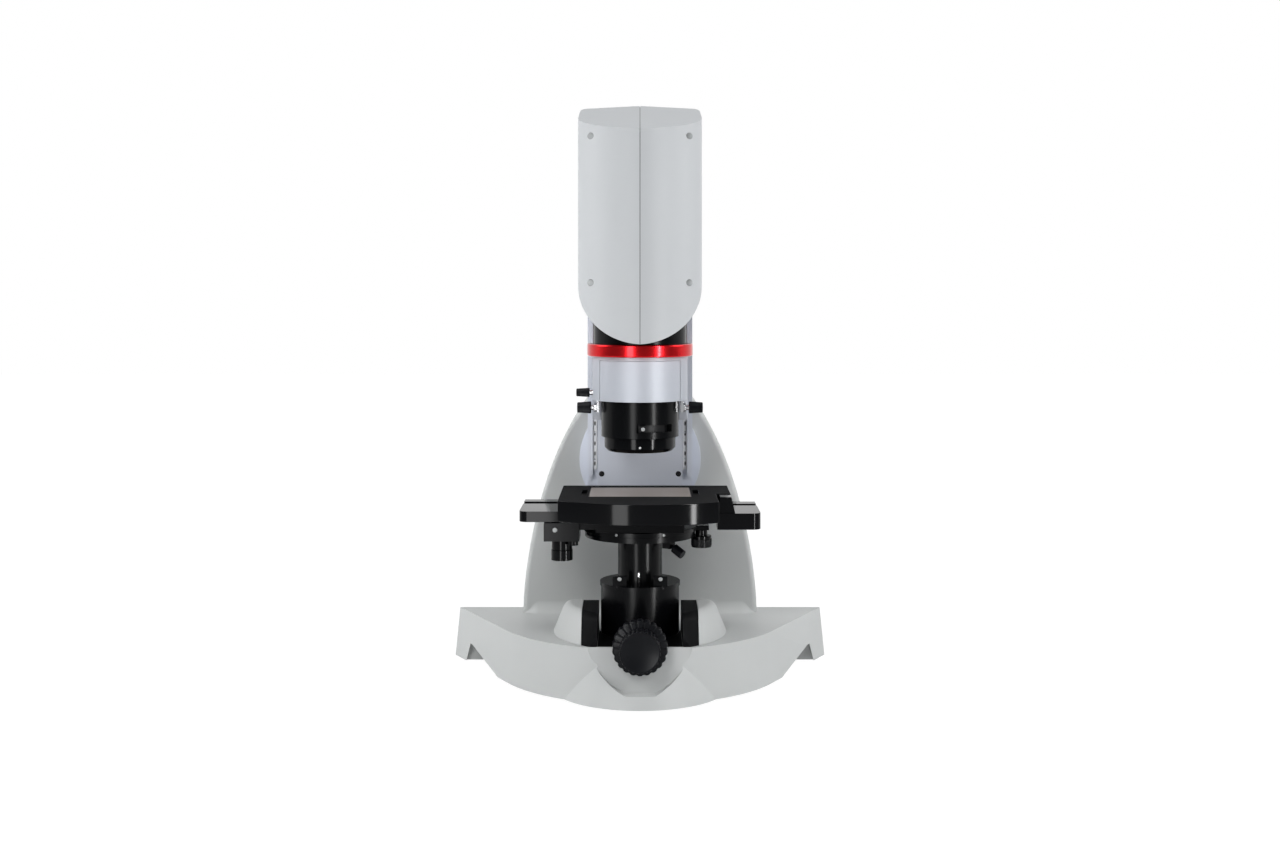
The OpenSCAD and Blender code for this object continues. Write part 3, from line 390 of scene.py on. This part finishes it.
def knob_rows(start, length, radius, end_radius=None, edge=0.8):
    """Profile of a knob's body from its near face to its far face, with rounded edges (mm)."""
    rib_edge = 0.6
    far = radius if end_radius is None else end_radius
    s0, s1 = start, start + length
    return [(s0, radius - edge), (s0 + 0.3 * edge, radius - 0.3 * edge, 0.5), (s0 + edge, radius, 1),
            (s0 + edge + rib_edge, radius, 1), (s1 - edge - rib_edge, far, 1), (s1 - edge, far, 1),
            (s1 - 0.3 * edge, far - 0.3 * edge, 0.5), (s1, far - edge)]


def span_of(node):
    """A CAD node's low corner, high corner and centre as arrays, in metres."""
    low, high = (np.array(c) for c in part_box(node))
    return low, high, (low + high) / 2


def lift_knobs():
    """Scalloped coarse knob and fine knob with two rows of notches, both turned about Y."""
    low, high, mid = span_of("coarse_knob")
    length, radius = (high - low)[1] / MM, (high - low)[0] / MM / 2
    bore = 4.1
    turned("coarse_knob_body", "coarse", "black_knob", (mid[0], high[1], mid[2]), (0, -1, 0),
           [(0, bore)] + knob_rows(0, length, radius, edge=1.5) + [(length, bore), (0, bore)],
           ribs=22, depth=2.4, power=2.5, steps=352, stands_for=("coarse_knob",))
    low, high, mid = span_of("fine_knob")
    length, radius = (high - low)[1] / MM, (high - low)[0] / MM / 2
    bore, neck, dish = 4.2, 2, 0.25
    bore_end, half, neck_radius = length - 3, length / 2 - neck / 2, radius - 1.2
    turned("fine_knob_body", "fine", "black_knob", (mid[0], high[1], mid[2]), (0, -1, 0),
           [(bore_end, 0), (bore_end, bore), (0, bore)] + knob_rows(0, half, radius)
           + [(half, neck_radius), (half + neck, neck_radius)] + knob_rows(half + neck, half, radius)
           + [(length, radius - 2.4), (length - dish, radius - 2.8), (length - dish, 0)],
           ribs=28, depth=1.3, power=1.6, steps=336, stands_for=("fine_knob",))


def side_buttons():
    """Ribbed release buttons and filter knob: each widens towards the stand, on a bright pin."""
    pin, pin_edge, seat = 3, 0.4, 0.5
    cap = 15.4
    for side, hand in ((-1, "left"), (1, "right")):
        node, body = f"release_button_{hand}", f"release_{hand}"
        low, high, mid = span_of(node)
        reach = (high[0] if side > 0 else -low[0]) / MM
        inner = (-high[0] if side < 0 else low[0]) / MM
        radius = (high - low)[2] / MM / 2
        end = reach - cap - inner + seat
        turned(f"{node}_cap", body, "black_knob", (side * (reach - cap) * MM, mid[1], mid[2]), (side, 0, 0),
               [(0, 0)] + knob_rows(0, cap, radius, radius - 0.9, edge=0.9) + [(cap, 0)],
               ribs=24, depth=0.55, power=1.5, steps=192, stands_for=(node,))
        turned(f"{node}_pin", body, "steel", (side * inner * MM, mid[1], mid[2]), (side, 0, 0),
               [(0, 0), (0, pin - pin_edge), (pin_edge, pin), (end, pin), (end, 0)])
    low, high, mid = span_of("filter_knob")
    radius, reach, inner = (high - low)[2] / MM / 2, -low[0] / MM, -high[0] / MM
    cap = 14.6
    end = reach - cap - inner + seat
    turned("filter_knob_cap", "filter", "black_knob", (-(reach - cap) * MM, mid[1], mid[2]), (-1, 0, 0),
           [(0, 0)] + knob_rows(0, cap, radius, radius - 0.7) + [(cap, 0)],
           ribs=20, depth=0.5, power=1.5, steps=160, stands_for=("filter_knob",))
    turned("filter_knob_pin", "filter", "steel", (-inner * MM, mid[1], mid[2]), (-1, 0, 0),
           [(0, 0), (0, pin), (end, pin), (end, 0)])


def stage_knobs():
    """Gloss of the knobs under the stage, and the ribbed grip around the rotation knob, turned about Z."""
    for node in ("x_drive_knob", "y_drive_knob", "rotation_knob"):
        NODES[node].data.materials[0] = MATS["objective_black"]
    low, high, mid = span_of("rotation_knob")
    radius = (high - low)[0] / MM / 2
    inside, outside, tall, lead = radius - 0.1, radius + 0.35, 8, 0.4
    turned("rotation_knob_grip", "turn_knob", "black_knob", (mid[0], mid[1], low[2] + 1.5 * MM), (0, 0, 1),
           [(0, inside), (lead, outside, 1), (tall - lead, outside, 1), (tall, inside), (0, inside)],
           ribs=48, depth=0.4, power=1.2, steps=384)


def socket_screw(name, body, place, axis, radius, look="steel"):
    """Screw head with a rounded rim and a socket sunk in its face, in shares of its radius (mm)."""
    r, foot = radius, -0.6
    head = turned(name, body, look, place, axis,
                  [(foot, 0), (foot, r), (0.5 * r, r), (0.62 * r, 0.92 * r), (0.66 * r, 0.8 * r),
                   (0.66 * r, 0.5 * r), (0.15 * r, 0.45 * r), (0.15 * r, 0)])
    if look == "steel":
        head.data.materials[0] = SCREW_LOOK


def small_screws():
    """Screw heads at the lift stops and the stage gearbox, and the pin beside the lift tube."""
    low, high, mid = span_of("stop_screws")
    radius, seat = (high - low)[2] / 2, 0.3 * MM
    for side in (-1, 1):
        socket_screw(f"stop_screw_head_{HAND[side]}", "root",
                     (side * (high[0] - radius), low[1] + seat, mid[2]), (0, -1, 0), 2.1)
    gearbox_x, gearbox_z = -91 * MM, 178.4 * MM
    socket_screw("gearbox_screw", "cross", (gearbox_x, span_of("drive_gearbox")[0][1], gearbox_z),
                 (0, -1, 0), 2.5)
    pin_x, pin_y, seat = -1.5 * MM, AXIS_Y - 27.4 * MM, 2 * MM
    foot = (pin_x, pin_y, span_of("lift_cap")[0][2] + seat)
    turned("lift_pin_post", "root", "objective_black", foot, (0, 0, 1),
           [(0, 0), (0, 1.8), (10.6, 1.8), (11, 1.4), (11, 0)], steps=32)
    turned("lift_pin", "root", "steel", foot, (0, 0, 1),
           [(10.5, 0), (10.5, 1.2), (14.6, 1.2), (15.3, 0.8), (15.3, 0)], steps=32)


def plate(name, body, look, centre, u, v, half, thick):
    """Rounded plate in mm: outline (h - r) sgn(c) + r c along u and v, c = cos t or sin t, raised
    along u x v."""
    corner, edge, steps = 1.0, 0.25, 32
    u, v = np.array(u, float), np.array(v, float)
    up = np.cross(u, v)
    t = np.linspace(0, 2 * np.pi, steps, endpoint=False) + np.pi / steps
    flat = np.stack([(half[k] - corner) * np.sign(f(t)) + corner * f(t)
                     for k, f in ((0, np.cos), (1, np.sin))])
    rows = [(0, 0), (1, 0), (1, edge), (1, thick - edge), (1 - edge / min(half), thick), (0, thick)]
    points = np.stack([k * (flat[0][:, None] * u + flat[1][:, None] * v) + h * up for k, h in rows])
    return piece(name, np.array(centre, float) + points * MM, body, look, wrap=True)


def seam_shade_strip():
    """Dark strip behind the seam of the two head covers, painted shade seen through the gap: P(i, s) =
    path(i) + s x, path inside the ridge.
    """
    low, high, _ = span_of("head_cover_left")
    depth, half, front_top = 1.6 * MM, 2 * MM, 0.6035
    front, back = low[1] + depth, high[1] - depth
    front_foot, back_foot = low[2] + 4 * MM, low[2] + 70 * MM
    path = np.array([(front, front_foot), (front, front_top - depth), (back, high[2] - depth),
                     (back, back_foot)])
    s = np.array([-half, half])
    points = np.stack([np.broadcast_to(s, (len(path), 2)), np.repeat(path[:, :1], 2, 1),
                       np.repeat(path[:, 1:], 2, 1)], -1)
    # A dark sheet that stands in for the shade inside the seam
    piece("seam_shade_strip", points, "head", "dark_metal", wall=SHEET_WALL)


def tower_fillet():
    """Hollow of the tower's foot: y = f - r + r sin a, z = b + r - r cos a, r falling to almost nothing
    at the ends."""
    low, high, _ = span_of("tower_casting")
    inset, full_half, fade, size, least, sunk = 1 * MM, 0.118, 0.017, 0.014, 0.0002, 0.0001
    x = np.linspace(low[0] + inset, high[0] - inset, 121)[None, :]
    a = np.linspace(0, np.pi / 2, 13)[:, None]
    away = np.clip((np.abs(x) - full_half) / fade, 0, 1)
    r = size * (1 - away * away * (3 - 2 * away)) + least
    y = low[1] - r + r * np.sin(a) + sunk
    z = low[2] + r - r * np.cos(a)
    piece("tower_fillet", np.stack([np.broadcast_to(x, y.shape), y, z], -1), "root", "grey_casting",
          wall=SHEET_WALL)


def collar_dark_sheets():
    """Dark sheets on the base's top between the lift housing and each liner: y runs from the housing's circle
    -sqrt(r^2 - x^2) to the collar's front edge."""
    clear, middle, liner_wall, edge, above = 0.4 * MM, 8.5 * MM, 17.2 * MM, 1 * MM, 0.15 * MM
    low, high, _ = span_of("lift_housing")
    radius = (high - low)[0] / 2 + clear
    liner_low, liner_high, _ = span_of("collar_liners")
    x = np.linspace(middle, liner_high[0] - liner_wall, 24)[None, :]
    t = np.linspace(0, 1, 8)[:, None]
    back = -np.sqrt(np.clip(radius ** 2 - x ** 2, 0, None))
    front = liner_low[1] - AXIS_Y + edge
    y = AXIS_Y + back + (front - back) * t
    z = np.full_like(y, liner_low[2] + above)
    for side in (-1, 1):
        points = np.stack([np.broadcast_to(side * x, y.shape), y, z], -1)
        mat = piece(f"collar_dark_sheet_{HAND[side]}", points if side < 0 else points[:, ::-1], "root",
                    "black_metal", wall=SHEET_WALL)
        mat.data.materials[0] = LINER_LOOK


def carriage_strips():
    """Bright edge strips of the focus carriage, seen on each side of the objective holder."""
    strip_x, strip_z, proud = 49 * MM, 0.325, 0.1 * MM
    front = span_of("focus_carriage")[0][1]
    for side in (-1, 1):
        plate(f"carriage_strip_{HAND[side]}", "head", "silver_aluminium",
              (side * strip_x, front + proud, strip_z), (1, 0, 0), (0, 0, 1), (5, 37), 1.5)


def marks():
    """Pin of the iris lever, index dot of the objective, and heads of sunk screws."""
    low, _, mid = span_of("iris_ring")
    socket_screw("iris_pin", "iris", (3.2 * MM, low[1], mid[2]), (0.07, -1, 0), 2.0)
    dot_z = 265.5 * MM
    dot = turned("index_dot", "objective", "objective_black", (0, span_of("objective_nose")[0][1], dot_z),
                 (0, -1, 0), [(-0.3, 0), (-0.3, 1.3), (0.1, 1.2), (0.25, 0)], steps=32)
    dot.data.materials[0] = MARK_LOOK
    low, high, mid = span_of("column_screws")
    inset, seat = 3.2 * MM, 1.2 * MM
    for side in (-1, 1):
        socket_screw(f"plate_screw_{HAND[side]}", "column",
                     (side * (high[0] - inset), low[1] + seat, mid[2]), (0, -1, 0), 2.9, "dark_metal")
    screw_x, rim, seat = 25 * MM, 0.062, 0.0618
    table_z = span_of("turntable")[2][2]
    for side in (-1, 1):
        turn = math.asin(side * screw_x / rim)
        socket_screw(f"table_screw_{HAND[side]}", "table",
                     (side * screw_x, AXIS_Y - seat * math.cos(turn), table_z),
                     (math.sin(turn), -math.cos(turn), 0), 1.4)


lift_knobs()
side_buttons()
stage_knobs()
small_screws()
seam_shade_strip()
tower_fillet()
collar_dark_sheets()
carriage_strips()
marks()


# Floor, light and camera
def seen_white(tree, depth_axis):
    """1 for rays that show the background: camera and glass rays, and mirror rays where it lies
    behind (+Y)."""
    path = add(tree, "ShaderNodeLightPath")
    split = add(tree, "ShaderNodeSeparateXYZ")
    behind = add(tree, "ShaderNodeMapRange")
    behind.inputs["From Min"].default_value = -0.1
    behind.inputs["From Max"].default_value = 0.3
    mirror = add(tree, "ShaderNodeMath", operation="MULTIPLY")
    clear = add(tree, "ShaderNodeMath", operation="MAXIMUM")
    seen = add(tree, "ShaderNodeMath", operation="MAXIMUM")
    link = tree.links.new
    link(depth_axis, split.inputs[0])
    link(split.outputs["Y"], behind.inputs["Value"])
    link(path.outputs["Is Glossy Ray"], mirror.inputs[0])
    link(behind.outputs[0], mirror.inputs[1])
    link(path.outputs["Is Camera Ray"], clear.inputs[0])
    link(path.outputs["Is Transmission Ray"], clear.inputs[1])
    link(mirror.outputs[0], seen.inputs[0])
    link(clear.outputs[0], seen.inputs[1])
    return seen


def floor():
    """A pale floor under the feet, white to the camera but for the object's shadow."""
    bpy.ops.mesh.primitive_plane_add(size=12, location=(0, 0, 0))
    plane = bpy.context.object
    plane.name = "floor"
    mat = bpy.data.materials.new("floor_white")
    mat.use_nodes = True
    tree = mat.node_tree
    shader = tree.nodes["Principled BSDF"]
    shader.inputs["Base Color"].default_value = (0.9, 0.9, 0.9, 1)
    shader.inputs["Roughness"].default_value = 0.6
    place = add(tree, "ShaderNodeNewGeometry")
    seen = seen_white(tree, place.outputs["Position"])
    part = add(tree, "ShaderNodeMath", operation="MULTIPLY")
    part.inputs[1].default_value = FLOOR_WHITE
    glow = add(tree, "ShaderNodeEmission")
    glow.inputs["Strength"].default_value = FLOOR_GLOW
    mix = add(tree, "ShaderNodeMixShader")
    tree.links.new(seen.outputs[0], part.inputs[0])
    tree.links.new(part.outputs[0], mix.inputs[0])
    tree.links.new(shader.outputs[0], mix.inputs[1])
    tree.links.new(glow.outputs[0], mix.inputs[2])
    tree.links.new(mix.outputs[0], tree.nodes["Material Output"].inputs["Surface"])
    plane.data.materials.append(mat)


def world():
    """Soft grey surroundings, with a white background behind the object."""
    made = bpy.data.worlds.new("studio")
    bpy.context.scene.world = made
    made.use_nodes = True
    tree = made.node_tree
    soft = tree.nodes["Background"]
    soft.inputs["Color"].default_value = (0.88, 0.92, 0.98, 1)
    soft.inputs["Strength"].default_value = WORLD_LIGHT
    white = add(tree, "ShaderNodeBackground")
    white.inputs["Color"].default_value = (1, 1, 1, 1)
    place = add(tree, "ShaderNodeTexCoord")
    seen = seen_white(tree, place.outputs["Generated"])
    mix = add(tree, "ShaderNodeMixShader")
    tree.links.new(seen.outputs[0], mix.inputs[0])
    tree.links.new(soft.outputs[0], mix.inputs[1])
    tree.links.new(white.outputs[0], mix.inputs[2])
    tree.links.new(mix.outputs[0], tree.nodes["World Output"].inputs["Surface"])


def lamp(name, place, aim, size, power, mirrored_only=False):
    """A rectangular soft box at place, facing aim; mirrored_only keeps it out of diffuse light."""
    data = bpy.data.lights.new(name, "AREA")
    data.shape = "RECTANGLE"
    data.size, data.size_y = size
    data.energy = power
    obj = bpy.data.objects.new(name, data)
    obj.visible_camera = False
    obj.visible_diffuse = not mirrored_only
    bpy.context.scene.collection.objects.link(obj)
    obj.location = place
    obj.rotation_euler = (Vector(aim) - Vector(place)).to_track_quat("-Z", "Y").to_euler()


def glint(name, turn, width, shine):
    """An upright strip near the object that gives off shine, turn degrees to the right of the camera."""
    way = Vector((math.sin(math.radians(turn)), -math.cos(math.radians(turn)), 0))
    reach, tall, above = 0.5, 0.7, 0.004
    middle = Vector((0, AXIS_Y, tall / 2 + above))
    lamp(name, middle + way * reach, middle, (width, tall), shine * math.pi * width * tall,
         mirrored_only=True)


def camera():
    """The photo's camera: level, with the picture shifted down from its horizon."""
    data = bpy.data.cameras.new("camera")
    data.sensor_width = 36.0
    data.lens = CAMERA_LENS
    data.shift_y = CAMERA_SHIFT
    obj = bpy.data.objects.new("camera", data)
    obj.location = (0, AXIS_Y - CAMERA_AWAY, CAMERA_HIGH)
    obj.rotation_euler = (math.radians(90), 0, 0)
    bpy.context.scene.collection.objects.link(obj)
    bpy.context.scene.camera = obj


FLOOR_WHITE, FLOOR_GLOW = 0.92, 1.075
WORLD_LIGHT = 0.24
CAMERA_LENS, CAMERA_SHIFT = 41.79, -0.10625
CAMERA_AWAY, CAMERA_HIGH = 1.634, 0.434
floor()
world()
lamp("left", (-1.0, -0.05, 0.66), (0, 0, 0.05), (0.5, 0.5), 5.5)
lamp("right", (1.0, -0.05, 0.66), (0, 0, 0.05), (0.5, 0.5), 4.5)
lamp("front_left", (-0.70, -1.8, 1.3), (0, 0, 0.3), (0.55, 1.0), 13)
lamp("front_right", (1.25, -1.5, 1.3), (0, 0, 0.3), (0.3, 1.0), 9)
lamp("top", (0.1, -0.1, 1.9), (0, 0, 0.1), (1.0, 0.6), 5)
glint("glint_right", 40, 0.035, 48)
glint("glint_left", -20, 0.11, 10)
camera()
bpy.context.scene.view_settings.view_transform = "Standard"
